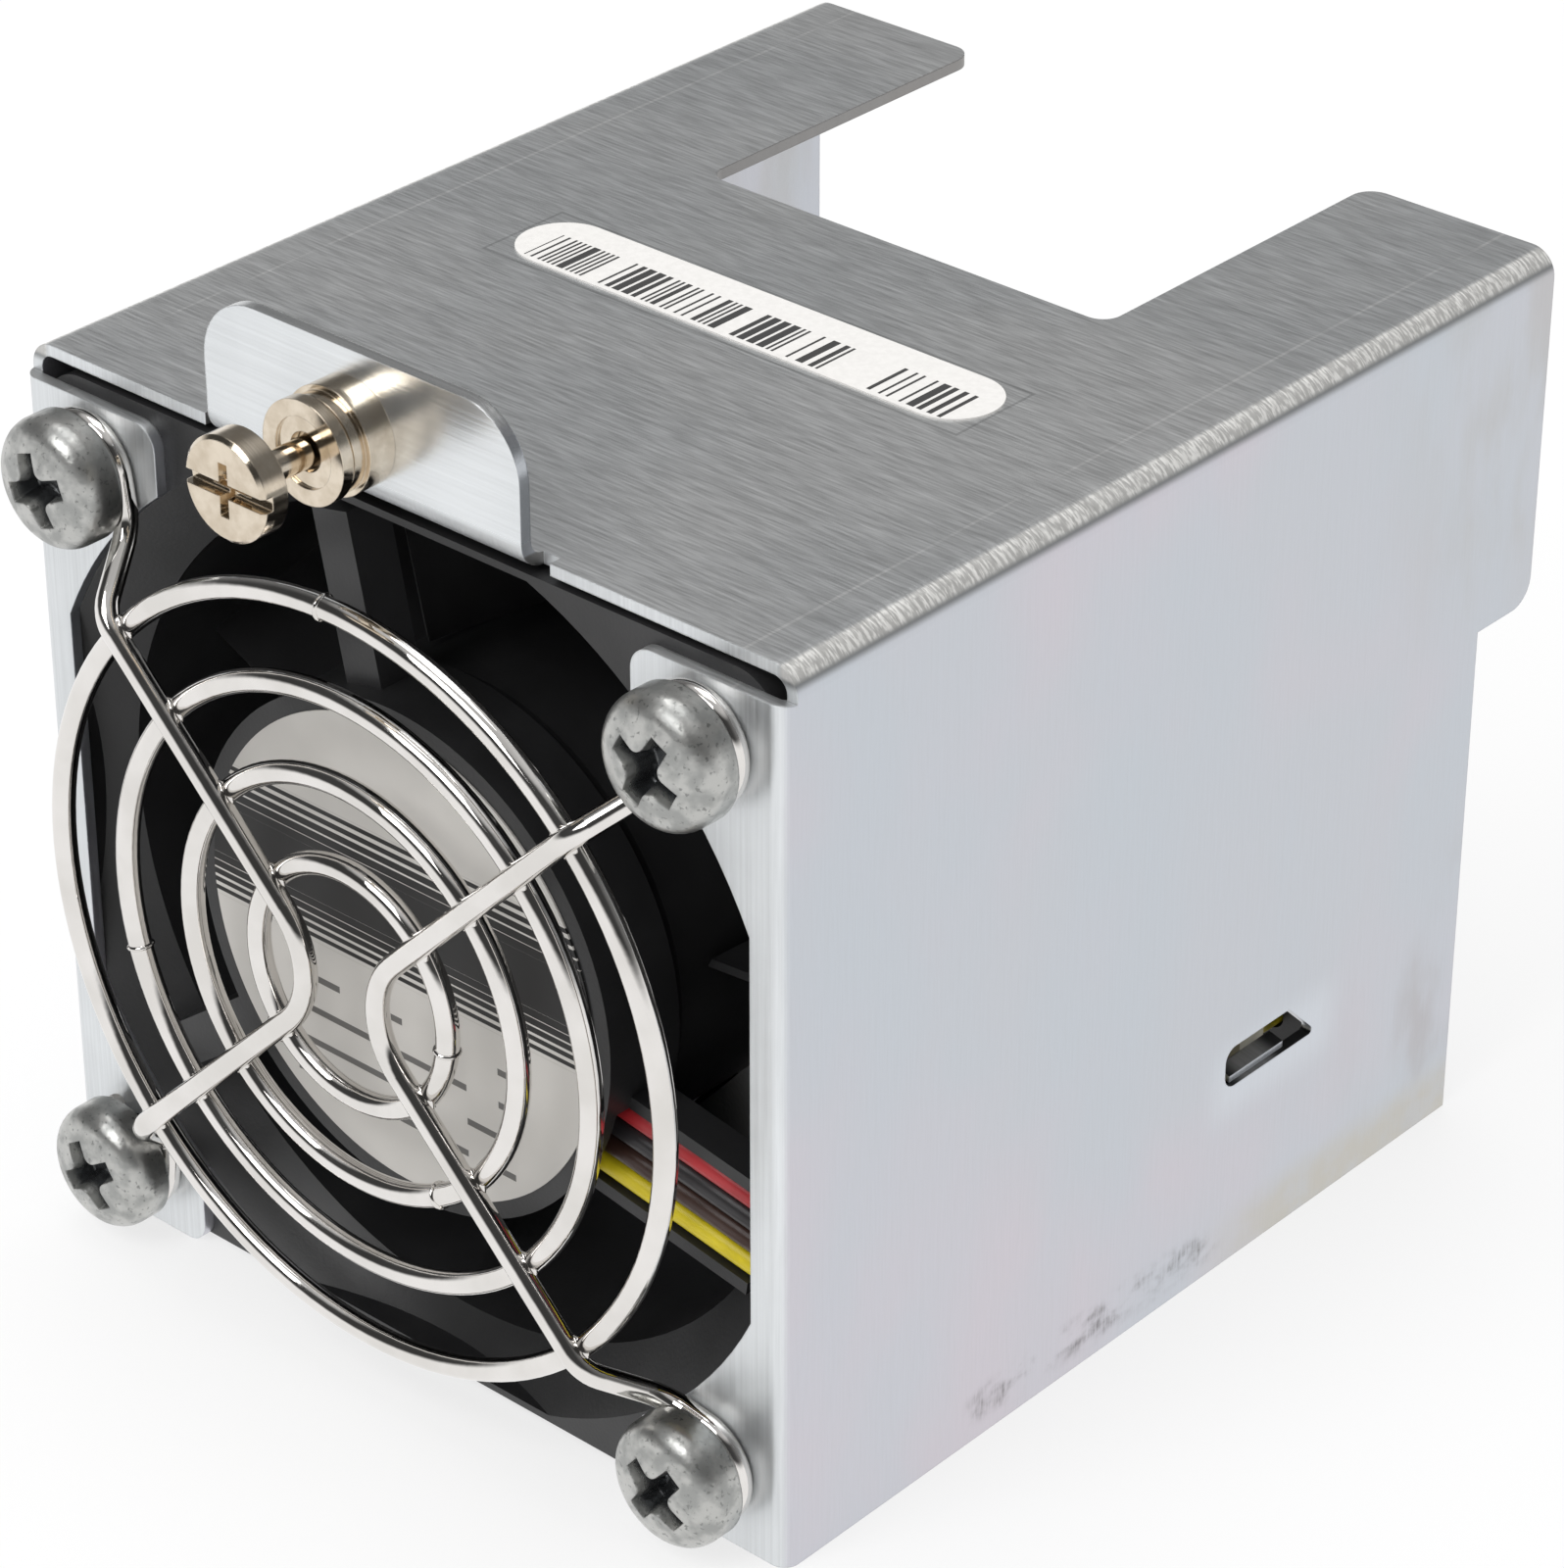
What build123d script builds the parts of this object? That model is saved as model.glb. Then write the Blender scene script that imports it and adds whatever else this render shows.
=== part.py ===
from build123d import *
from math import asin, cos, degrees, radians, sin, sqrt
import os

# Chassis fan module: a 60 mm axial fan held in a bent sheet steel bracket.
# X runs across the front from left to right, Y from the front to the back, Z up.
# The origin is under the middle of the module, on the bracket's lower edges.

# Bracket, one bent piece of zinc plated sheet
sheet = 0.8
bend = 1.0
ear_bend = 0.35
side_gap = 0.4
top_gap = 0.4
bracket_depth = 72.8
top_setback = 0.95
edge_clearance = 0.5
cutout_width = 33.0
cutout_depth = 26.85
cutout_corner = 1.4
arm_corner = 1.6
step_height = 36.7
step_setback = 5.7
step_corner = 1.9
ear_reach = 11.7
ear_corner = 1.6
ear_gap = 1.25
strip_width = 2.8
opening_margin = 1.4
screw_hole = 2.3
rear_flange_reach = 15.0
rear_flange_gap = 1.0

# Tab for the captive screw, bent up from the top plate's front edge
tab_width = 25.7
tab_height = 9.0
tab_offset = -1.65
tab_corner = 4.4
tab_relief = 1.3

# Pressed slot in the right side panel, behind the fan
slot_front = 42.0
slot_length = 9.6
slot_height = 3.0
slot_bottom = 13.7
slot_corner = 1.0
slot_corner_small = 0.3
lip_depth = 0.7
lip_rise = 0.3
lip_thickness = 0.45

# Fan
fan_size = 60.0
fan_depth = 38.0
screw_inset = 5.0
flange = 4.5
fan_corner = 3.2
bore_margin = 2.0
body_wall = 1.3
mouth_margin = 1.4
mouth_rim = 0.5
mouth_depth = 3.6
self_tap_hole = 2.15
hub_radius = 17.4
hub_proud = 0.8
hub_plate = 1.0
hub_rim = 1.3
hub_depth = 5.2
spoke_width = 3.0
spoke_front = 0.6
spoke_angles = (102.0, 217.0)
channel_angle = -9.5
channel_offset = -4.85
channel_width = 6.6
channel_wall = 0.9
channel_floor = 1.0
channel_depth = 3.9
channel_front = 1.3

# Rotor
rotor_front = 6.3
rotor_back = 35.6
rotor_radius = 16.6
rotor_skin = 1.2
blade_count = 7
blade_thickness = 1.3
blade_edge = 0.5
blade_chord = 27.0
blade_tip_chord = 31.0
blade_root_pitch = 62.0
blade_tip_pitch = 46.0
blade_camber = 3.2
blade_middle = 20.5
blade_root = 15.9
tip_clearance = 0.6
yoke_thickness = 0.9
magnet_thickness = 1.8
magnet_length = 17.0
shaft_radius = 1.5
boss_radius = 3.4
running_clearance = 0.03

# Stator
bearing_outer = 4.0
bearing_width = 4.0
bearing_race = 0.9
sleeve_wall = 1.0
front_bearing_depth = 2.4
rear_bearing_depth = 21.0
air_gap = 0.4
stator_length = 12.0
stator_front = 10.1
tooth_count = 4
tooth_width = 4.2
shoe_thickness = 1.8
core_hub = 1.9
tooth_gap = 1.6
coil_thickness = 2.0
board_thickness = 1.0
board_clearance = 0.35
board_front = 2.9
chip_size = 3.0
chip_height = 1.2
board_hole = 5.2
chip_reach = 10.2
chip_angles = (20.0, 115.0, 250.0)
clip_front = 1.7
clip_thickness = 0.4
clip_radius = 2.5
shaft_front = 1.1
tube_back = 26.0
boss_front = 25.9
washer_outer = 2.5
thrust_thickness = 0.7
magnet_front = 7.4
yoke_front = 6.9
yoke_length = 22.0
race_shade = 0.15

# Finger guard, welded from round wire
wire = 1.5
guard_rings = 4
ring_margin = 2.4
ring_pitch = 5.85
ring_stand = 4.1
strut_stand = 5.0
strut_offset = 0.75
apex_radius = 5.6
leg_stop = 6.4
loop_radius = 3.2
loop_start = 82.0
loop_turn = 232.0
loop_lead = 3.16
bend_back_radius = 3.0
settle = 0.02

# Fan screws, pan heads with a cross recess
head_seat = 0.25
head_radius = 4.3
head_height = 3.4
head_round = 1.6
head_dome = 9.0
screw_radius = 2.1
screw_length = 9.0
recess_width = 1.5
recess_span = 5.0
recess_depth = 2.2
recess_round = 0.6
recess_taper = 14.0

# Captive screw
captive_x = -2.1
captive_rise = 3.9
ferrule_base = 3.45
ferrule_base_length = 2.0
ferrule_body = 3.1
ferrule_nose = 3.3
ferrule_nose_length = 0.85
ferrule_length = 4.0
ferrule_bore = 1.25
ferrule_face = 0.6
ferrule_step = 2.25
ferrule_step_depth = 0.2
ferrule_groove = 0.25
ferrule_spigot = 2.9
washer_radius = 2.2
washer_thickness = 0.4
play = 0.05
captive_head = 3.3
captive_head_height = 1.9
captive_head_chamfer = 0.25
captive_shank = 0.95
captive_thread = 1.5
captive_stand = 10.2
captive_slot = 0.9
captive_slot_depth = 0.7
captive_recess = 3.4
captive_recess_width = 0.75

# Labels
label_thickness = 0.12
part_label_length = 38.3
part_label_width = 6.3
part_label_back = 28.9
hub_label_radius = 16.2

# Fan lead, four insulated wires in a flat row, tied once and ending in a plug
lead = 1.5
lead_pitch = 1.58
lead_count = 4
lead_start = 13.2
lead_overlap = 2.4
lead_names = ("lead_yellow", "lead_brown", "lead_black", "lead_red")
lead_turn = 1.5
lead_drop = 8.0
lead_drop_radius = 12.0
lead_sway = 2.5
lead_leaves_fan = 1.0
lead_settle_share = 0.303
lead_leave_share = 0.617
lead_reach_share = 0.91
groove_margin = 0.5
tie_share = 0.495
tie_inset = 3.4
tie_height = 15.9
tie_width = 2.5
tie_thickness = 0.9
tie_head = 4.4
tie_head_depth = 2.6
tie_corner = 0.75
plug_length = 11.9
plug_thickness = 5.6
plug_pitch = 2.54
plug_wall = 1.5
plug_inset = 7.0
plug_height = 12.4
plug_shoulder = 0.8
plug_shoulder_length = 8.7
plug_cavity = 0.95
crimp_place = 5.0
contact_back = 1.2
contact_radius = 0.75
contact_bore = 0.35
contact_bore_depth = 5.0
cut = 1.0
quarter_turn = 90.0

# Places worked out from the sizes above
bracket_width = fan_size + 2 * (side_gap + sheet)
bracket_height = edge_clearance + fan_size + top_gap + sheet
module_depth = bracket_depth + captive_stand
ear_face = captive_stand - module_depth / 2
back_edge = ear_face + bracket_depth
half_width = bracket_width / 2
side_inner = half_width - sheet
outer_bend = bend + sheet
top_under = bracket_height - sheet
axis_height = edge_clearance + fan_size / 2
fan_front = ear_face + sheet
fan_back = fan_front + fan_depth
hub_front = fan_front - hub_proud
ear_top = top_under - ear_gap
step_edge = back_edge - step_setback
screw_pitch = fan_size - 2 * screw_inset
half_pitch = screw_pitch / 2
ear_opening = fan_size / 2 + opening_margin
bore_radius = fan_size / 2 - bore_margin
mouth_radius = fan_size / 2 + mouth_margin
ring_radius = bore_radius - ring_margin
leg_end = half_pitch - leg_stop
fan_axis = Axis((0, 0, axis_height), (0, 1, 0))
captive_height = bracket_height + captive_rise
captive_axis = Axis((captive_x, 0, captive_height), (0, 1, 0))
os.makedirs("parts", exist_ok=True)

# The lead's tie and plug: the plug's shoulder stops at the rear flange, the tie sits between fan and plug
tie_x = side_inner - tie_inset
plug_x = side_inner - plug_inset
plug_face = step_edge - sheet - plug_shoulder_length
plug_room = plug_face - fan_back


# A drawing plane seen from the front, with its middle on the fan's axis
def seen_from_front(y, x=0, z=axis_height):
    return Plane((x, y, z), x_dir=(1, 0, 0), z_dir=(0, -1, 0))


# A half section for turned pieces: first value the radius, second the place along Y
def turned(x=0, z=axis_height):
    return Plane((x, 0, z), x_dir=(1, 0, 0), z_dir=(0, 0, 1))


# One band of a half section, between two radii and two places along Y
def band(inner, outer, front, back, mode=Mode.ADD):
    with Locations((inner, front)):
        Rectangle(outer - inner, back - front, align=(Align.MIN, Align.MIN), mode=mode)


def keep(piece, name):
    piece.part.label = name
    export_step(piece.part, f"parts/{name}.step")


# The bracket: a channel open below and behind, with front ears and a tab
with BuildPart() as bracket:
    with BuildSketch(seen_from_front(ear_face + top_setback, z=0)):
        with BuildLine():
            FilletPolyline(
                (-half_width, 0), (-half_width, bracket_height),
                (half_width, bracket_height), (half_width, 0),
                radius=outer_bend,
            )
            Line((half_width, 0), (side_inner, 0))
            FilletPolyline(
                (side_inner, 0), (side_inner, top_under), (-side_inner, top_under), (-side_inner, 0),
                radius=bend,
            )
            Line((-side_inner, 0), (-half_width, 0))
        make_face()
    extrude(amount=top_setback - bracket_depth)
    with BuildSketch(Plane.XY.offset(bracket_height + cut)):
        with Locations((0, back_edge + cutout_corner)):
            RectangleRounded(
                cutout_width, 2 * (cutout_depth + cutout_corner), cutout_corner,
            )
    extrude(amount=-outer_bend - cut, mode=Mode.SUBTRACT)
    upright_edges = bracket.edges().filter_by(Axis.Z)
    arm_ends = upright_edges.filter_by_position(Axis.Y, back_edge - play, back_edge + play)
    fillet(arm_ends.filter_by_position(Axis.X, -cutout_width / 2 - play, cutout_width / 2 + play), arm_corner)
    with BuildSketch(Plane.YZ.offset(half_width + cut)):
        with BuildLine():
            Line((step_edge, -cut), (step_edge, step_height))
            Line((step_edge, step_height), (back_edge - step_corner, step_height))
            RadiusArc(
                (back_edge - step_corner, step_height), (back_edge, step_height + step_corner), -step_corner,
            )
            Polyline(
                (back_edge, step_height + step_corner), (back_edge + cut, step_height + step_corner),
                (back_edge + cut, -cut), (step_edge, -cut),
            )
        make_face()
    extrude(amount=-bracket_width - 2 * cut, mode=Mode.SUBTRACT)
    with BuildSketch(Plane.YZ.offset(half_width + cut)):
        with Locations((ear_face, -cut)):
            Rectangle(2 * outer_bend, ear_top + cut, align=(Align.CENTER, Align.MIN))
    extrude(amount=-bracket_width - 2 * cut, mode=Mode.SUBTRACT)
    for side in (1, -1):
        with BuildSketch(Plane.XY):
            with BuildLine():
                FilletPolyline(
                    (side * half_width, ear_face + 2 * outer_bend), (side * half_width, ear_face),
                    (side * (half_width - ear_reach), ear_face), radius=ear_bend + sheet,
                )
                Line(
                    (side * (half_width - ear_reach), ear_face),
                    (side * (half_width - ear_reach), fan_front),
                )
                FilletPolyline(
                    (side * (half_width - ear_reach), fan_front), (side * side_inner, fan_front),
                    (side * side_inner, ear_face + 2 * outer_bend), radius=ear_bend,
                )
                Line(
                    (side * side_inner, ear_face + 2 * outer_bend),
                    (side * half_width, ear_face + 2 * outer_bend),
                )
            make_face()
        extrude(amount=ear_top)
        with BuildSketch(Plane.XY):
            with BuildLine():
                FilletPolyline(
                    (side * half_width, step_edge - 2 * outer_bend), (side * half_width, step_edge),
                    (side * (half_width - rear_flange_reach), step_edge), radius=outer_bend,
                )
                Line(
                    (side * (half_width - rear_flange_reach), step_edge),
                    (side * (half_width - rear_flange_reach), step_edge - sheet),
                )
                FilletPolyline(
                    (side * (half_width - rear_flange_reach), step_edge - sheet),
                    (side * side_inner, step_edge - sheet),
                    (side * side_inner, step_edge - 2 * outer_bend), radius=bend,
                )
                Line(
                    (side * side_inner, step_edge - 2 * outer_bend),
                    (side * half_width, step_edge - 2 * outer_bend),
                )
            make_face()
        extrude(amount=step_height - rear_flange_gap)
    ear_tips = bracket.edges().filter_by(Axis.Y).filter_by_position(Axis.Y, ear_face, fan_front)
    fillet(ear_tips.filter_by_position(Axis.X, -half_width + ear_reach - play, half_width - ear_reach + play),
           ear_corner)
    with BuildSketch(seen_from_front(ear_face - cut)):
        Circle(ear_opening)
        Rectangle(bracket_width - 2 * strip_width, fan_size, mode=Mode.INTERSECT)
    extrude(amount=-sheet - 2 * cut, mode=Mode.SUBTRACT)
    with BuildSketch(seen_from_front(ear_face - cut)):
        with GridLocations(screw_pitch, screw_pitch, 2, 2):
            Circle(screw_hole)
    extrude(amount=-sheet - 2 * cut, mode=Mode.SUBTRACT)
    with BuildSketch(Plane.XY.offset(bracket_height)):
        with Locations((tab_offset, ear_face)):
            Rectangle(tab_width + 2 * tab_relief, 2 * outer_bend)
    extrude(amount=-sheet - cut, mode=Mode.SUBTRACT)
    with BuildSketch(Plane.YZ.offset(tab_offset - tab_width / 2)):
        with BuildLine():
            FilletPolyline(
                (ear_face + 2 * outer_bend, top_under), (ear_face, top_under),
                (ear_face, bracket_height + tab_height), radius=outer_bend,
            )
            Line((ear_face, bracket_height + tab_height), (fan_front, bracket_height + tab_height))
            FilletPolyline(
                (fan_front, bracket_height + tab_height), (fan_front, bracket_height),
                (ear_face + 2 * outer_bend, bracket_height), radius=bend,
            )
            Line((ear_face + 2 * outer_bend, bracket_height), (ear_face + 2 * outer_bend, top_under))
        make_face()
    extrude(amount=tab_width)
    tab_tips = bracket.edges().filter_by(Axis.Y).filter_by_position(
        Axis.Z, bracket_height + tab_height - play, bracket_height + tab_height + play)
    fillet(tab_tips, tab_corner)
    with BuildSketch(seen_from_front(ear_face - cut, captive_x, captive_height)):
        Circle(ferrule_spigot + settle)
    extrude(amount=-sheet - 2 * cut, mode=Mode.SUBTRACT)
    with BuildSketch(Plane.YZ.offset(half_width + cut)):
        with BuildLine():
            FilletPolyline(
                (ear_face + slot_front, slot_bottom), (ear_face + slot_front, slot_bottom + slot_height),
                (ear_face + slot_front + slot_length - slot_height, slot_bottom + slot_height),
                (ear_face + slot_front + slot_length, slot_bottom),
                radius=[slot_corner, slot_corner, slot_corner_small, slot_corner_small], close=True,
            )
        make_face()
    extrude(amount=-sheet - 2 * cut, mode=Mode.SUBTRACT)
    with BuildSketch(Plane.XZ.offset(-ear_face - slot_front - slot_corner)):
        with BuildLine():
            Polyline(
                (side_inner + sheet / 2, slot_bottom), (side_inner, slot_bottom),
                (side_inner - lip_depth, slot_bottom + lip_rise),
                (side_inner - lip_depth, slot_bottom + lip_rise + lip_thickness),
                (side_inner + sheet / 2, slot_bottom + lip_thickness), close=True,
            )
        make_face()
    extrude(amount=slot_corner + slot_height - slot_length)
    plug_opening = (plug_thickness + play, lead_count * plug_pitch + plug_wall + play)
    with BuildSketch(seen_from_front(step_edge - sheet - cut, plug_x, plug_height)):
        Rectangle(*plug_opening)
    extrude(amount=-sheet - 2 * cut, mode=Mode.SUBTRACT)
keep(bracket, "bracket")

# The channel that carries the lead from the hub to the right side
channel = Plane(
    (0, fan_front, axis_height),
    x_dir=(cos(radians(channel_angle)), 0, sin(radians(channel_angle))), z_dir=(0, -1, 0),
)
lead_row = [(k - (lead_count - 1) / 2) * lead_pitch for k in range(lead_count)]
lead_out = side_inner - play - lead / 2
slope = sin(radians(channel_angle)) / cos(radians(channel_angle))
row_out = axis_height + channel_offset / cos(radians(channel_angle)) + lead_out * slope
groove_inner = side_inner - play - lead - play
groove_half = lead_count * lead_pitch / 2 + groove_margin

# Fan housing: two square flanges, a round duct, three arms and the motor's base
with BuildPart() as housing:
    with BuildSketch(seen_from_front(fan_front)):
        RectangleRounded(fan_size, fan_size, fan_corner)
    extrude(amount=-flange)
    with BuildSketch(seen_from_front(fan_back)):
        RectangleRounded(fan_size, fan_size, fan_corner)
    extrude(amount=flange)
    with BuildSketch(turned()):
        band(bore_radius, bore_radius + body_wall, fan_front, fan_back)
    revolve(axis=fan_axis)
    with BuildSketch(turned()):
        band(0, bore_radius, fan_front - cut, fan_back + cut)
        with BuildLine():
            Polyline(
                (bore_radius, fan_front - cut), (mouth_radius, fan_front - cut), (mouth_radius, fan_front),
                (bore_radius, fan_front + mouth_depth), close=True,
            )
        make_face()
    revolve(axis=fan_axis, mode=Mode.SUBTRACT)
    with BuildSketch(seen_from_front(fan_front)):
        RectangleRounded(fan_size, fan_size, fan_corner)
        RectangleRounded(
            fan_size - 2 * mouth_rim, fan_size - 2 * mouth_rim, fan_corner - mouth_rim, mode=Mode.SUBTRACT,
        )
    extrude(amount=-flange)
    with BuildSketch(seen_from_front(fan_front - cut)):
        with GridLocations(screw_pitch, screw_pitch, 2, 2):
            Circle(self_tap_hole)
    extrude(amount=-fan_depth - 2 * cut, mode=Mode.SUBTRACT)
    with BuildSketch(seen_from_front(fan_front + spoke_front)):
        for angle in spoke_angles:
            with Locations(Rotation(0, 0, angle)):
                Rectangle(bore_radius + body_wall / 2, spoke_width, align=(Align.MIN, Align.CENTER))
    extrude(amount=spoke_front - channel_depth)
    with BuildSketch(channel.offset(-channel_front)):
        with Locations((0, channel_offset)):
            Rectangle(bore_radius, channel_width + 2 * channel_wall, align=(Align.MIN, Align.CENTER))
    extrude(amount=channel_front - channel_depth)
    with BuildSketch(turned()):
        band(0, hub_radius, hub_front, fan_front + hub_depth)
    revolve(axis=fan_axis)
    with BuildSketch(turned()):
        band(0, hub_radius - hub_rim, hub_front + hub_plate, fan_front + hub_depth + cut)
    revolve(axis=fan_axis, mode=Mode.SUBTRACT)
    with BuildSketch(channel.offset(-hub_plate + hub_proud)):
        with Locations((lead_start - cut, channel_offset)):
            Rectangle(fan_size / 2 - lead_start, channel_width, align=(Align.MIN, Align.CENTER))
    extrude(amount=channel_floor + hub_plate - hub_proud - channel_depth, mode=Mode.SUBTRACT)
    with BuildSketch(channel.offset(cut)):
        with Locations((hub_radius, channel_offset)):
            Rectangle(fan_size, channel_width, align=(Align.MIN, Align.CENTER))
    extrude(amount=channel_floor - channel_depth - cut, mode=Mode.SUBTRACT)
    with BuildSketch(seen_from_front(fan_front - cut)):
        with Locations((groove_inner, row_out - axis_height)):
            Rectangle(fan_size, 2 * groove_half, align=(Align.MIN, Align.CENTER))
    extrude(amount=-flange - 2 * cut, mode=Mode.SUBTRACT)
    with BuildSketch(seen_from_front(fan_front - cut)):
        with Locations((lead_out - lead_turn - play, row_out - axis_height)):
            Rectangle(fan_size, 2 * groove_half, align=(Align.MIN, Align.CENTER))
    extrude(amount=-cut - board_front - lead_turn, mode=Mode.SUBTRACT)
    with BuildSketch(seen_from_front(fan_back + cut)):
        with Locations((groove_inner, tie_height - axis_height)):
            Rectangle(fan_size, 2 * groove_half, align=(Align.MIN, Align.CENTER))
    extrude(amount=flange + 2 * cut, mode=Mode.SUBTRACT)
keep(housing, "fan_housing")

# Front sticker on the motor's base
with BuildPart() as hub_sticker:
    with BuildSketch(turned()):
        band(0, hub_label_radius, hub_front - label_thickness, hub_front)
    revolve(axis=fan_axis)
keep(hub_sticker, "hub_label")

# One blade, lofted from root to tip; its tip is trimmed to a cylinder in the impeller
with BuildPart() as blade:
    for reach, chord, pitch in (
        (blade_root, blade_chord, blade_root_pitch),
        (bore_radius + blade_camber, blade_tip_chord, blade_tip_pitch),
    ):
        section = Plane(
            (0, fan_front + blade_middle, axis_height + reach),
            x_dir=(cos(radians(pitch)), sin(radians(pitch)), 0), z_dir=(0, 0, 1),
        )
        with BuildSketch(section):
            with BuildLine():
                ThreePointArc((-chord / 2, 0), (0, blade_camber), (chord / 2, 0))
                Line((chord / 2, 0), (chord / 2, -blade_edge))
                ThreePointArc(
                    (chord / 2, -blade_edge), (0, blade_camber - blade_thickness), (-chord / 2, -blade_edge),
                )
                Line((-chord / 2, -blade_edge), (-chord / 2, 0))
            make_face()
    loft()

# Impeller: a cup over the motor with the blades around it
with BuildPart() as impeller:
    for k in range(blade_count):
        add(blade.part.rotate(fan_axis, k * 360 / blade_count))
    with BuildSketch(turned()):
        band(0, bore_radius - tip_clearance, fan_front + rotor_front, fan_front + rotor_back)
    revolve(axis=fan_axis, mode=Mode.INTERSECT)
    with BuildSketch(turned()):
        band(0, rotor_radius, fan_front + rotor_front, fan_front + rotor_back)
    revolve(axis=fan_axis)
    with BuildSketch(turned()):
        band(0, rotor_radius - rotor_skin, fan_front + rotor_front - cut, fan_front + rotor_back - rotor_skin)
    revolve(axis=fan_axis, mode=Mode.SUBTRACT)
    with BuildSketch(turned()):
        band(0, boss_radius, fan_front + boss_front, fan_front + rotor_back)
    revolve(axis=fan_axis)
    with BuildSketch(turned()):
        band(0, shaft_radius, fan_front + boss_front - cut, fan_front + rotor_back - rotor_skin)
    revolve(axis=fan_axis, mode=Mode.SUBTRACT)
keep(impeller, "impeller")

yoke_outer = rotor_radius - rotor_skin
magnet_outer = yoke_outer - yoke_thickness
magnet_inner = magnet_outer - magnet_thickness
with BuildPart() as yoke:
    with BuildSketch(turned()):
        band(magnet_outer, yoke_outer, fan_front + yoke_front, fan_front + yoke_front + yoke_length)
    revolve(axis=fan_axis)
keep(yoke, "rotor_yoke")

with BuildPart() as magnet:
    with BuildSketch(turned()):
        band(magnet_inner, magnet_outer, fan_front + magnet_front, fan_front + magnet_front + magnet_length)
    revolve(axis=fan_axis)
keep(magnet, "rotor_magnet")

# Shaft with a groove for its clip
with BuildPart() as shaft:
    with BuildSketch(turned()):
        band(0, shaft_radius, fan_front + shaft_front, fan_front + rotor_back - rotor_skin)
        band(shaft_radius - race_shade, shaft_radius, fan_front + clip_front,
             fan_front + clip_front + clip_thickness, mode=Mode.SUBTRACT)
    revolve(axis=fan_axis)
keep(shaft, "shaft")

with BuildPart() as clip:
    with BuildSketch(turned()):
        band(shaft_radius - race_shade, clip_radius,
             fan_front + clip_front, fan_front + clip_front + clip_thickness)
    revolve(axis=fan_axis)
    with BuildSketch(seen_from_front(fan_front + clip_front - cut)):
        Rectangle(clip_radius + cut, shaft_radius, align=(Align.MIN, Align.CENTER))
    extrude(amount=-clip_thickness - 2 * cut, mode=Mode.SUBTRACT)
keep(clip, "shaft_clip")

with BuildPart() as thrust:
    with BuildSketch(turned()):
        band(shaft_radius, washer_outer, fan_front + boss_front - thrust_thickness, fan_front + boss_front)
    revolve(axis=fan_axis)
keep(thrust, "thrust_washer")

# Two shielded ball bearings in a brass tube
bearing_inner = shaft_radius + running_clearance
for front, name in ((front_bearing_depth, "bearing_front"), (rear_bearing_depth, "bearing_rear")):
    with BuildPart() as bearing:
        with BuildSketch(turned()):
            band(bearing_inner, bearing_outer, fan_front + front, fan_front + front + bearing_width)
            shield = (bearing_inner + bearing_race, bearing_outer - bearing_race)
            band(*shield, fan_front + front, fan_front + front + race_shade, mode=Mode.SUBTRACT)
            back = fan_front + front + bearing_width
            band(*shield, back - race_shade, back, mode=Mode.SUBTRACT)
        revolve(axis=fan_axis)
    keep(bearing, name)

tube_outer = bearing_outer + sleeve_wall
with BuildPart() as tube:
    with BuildSketch(turned()):
        band(bearing_outer, tube_outer, fan_front + hub_plate - hub_proud, fan_front + tube_back)
        band(bearing_outer - bearing_race, tube_outer, fan_front + front_bearing_depth + bearing_width,
             fan_front + rear_bearing_depth)
    revolve(axis=fan_axis)
keep(tube, "bearing_tube")

# Stator: laminated core, one coil on each tooth
stator_outer = magnet_inner - air_gap
core_outer = tube_outer + core_hub
with BuildPart() as core:
    with BuildSketch(seen_from_front(fan_front + stator_front)):
        Circle(stator_outer)
        Circle(stator_outer - shoe_thickness, mode=Mode.SUBTRACT)
        for k in range(tooth_count):
            with Locations(Rotation(0, 0, (k + 1 / 2) * 360 / tooth_count)):
                Rectangle(stator_outer + cut, tooth_gap, align=(Align.MIN, Align.CENTER), mode=Mode.SUBTRACT)
        for k in range(tooth_count):
            with Locations(Rotation(0, 0, k * 360 / tooth_count)):
                Rectangle(stator_outer - shoe_thickness / 2, tooth_width, align=(Align.MIN, Align.CENTER))
        Circle(core_outer)
        Circle(tube_outer, mode=Mode.SUBTRACT)
    extrude(amount=-stator_length)
keep(core, "stator_core")

coil_inner = core_outer + play
coil_reach = sqrt((stator_outer - shoe_thickness) ** 2 - (tooth_width / 2 + coil_thickness) ** 2) - play
with BuildPart() as coils:
    with BuildSketch(seen_from_front(fan_front + stator_front - coil_thickness)):
        for k in range(tooth_count):
            with Locations(Rotation(0, 0, k * 360 / tooth_count) * Location((coil_inner, 0))):
                Rectangle(coil_reach - coil_inner, tooth_width + 2 * coil_thickness,
                          align=(Align.MIN, Align.CENTER))
    extrude(amount=-stator_length - 2 * coil_thickness)
    with BuildSketch(seen_from_front(fan_front + stator_front)):
        for k in range(tooth_count):
            with Locations(Rotation(0, 0, k * 360 / tooth_count)):
                Rectangle(stator_outer, tooth_width, align=(Align.MIN, Align.CENTER))
    extrude(amount=-stator_length, mode=Mode.SUBTRACT)
keep(coils, "coils")

# Circuit board inside the motor's base, with its parts on the rotor side
with BuildPart() as board:
    with BuildSketch(turned()):
        band(board_hole, hub_radius - hub_rim - board_clearance, fan_front + board_front,
             fan_front + board_front + board_thickness)
    revolve(axis=fan_axis)
keep(board, "circuit_board")

with BuildPart() as chips:
    with BuildSketch(seen_from_front(fan_front + board_front + board_thickness)):
        for angle in chip_angles:
            with Locations(Rotation(0, 0, angle) * Location((chip_reach, 0))):
                Rectangle(chip_size, chip_size)
    extrude(amount=-chip_height)
keep(chips, "board_parts")


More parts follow.
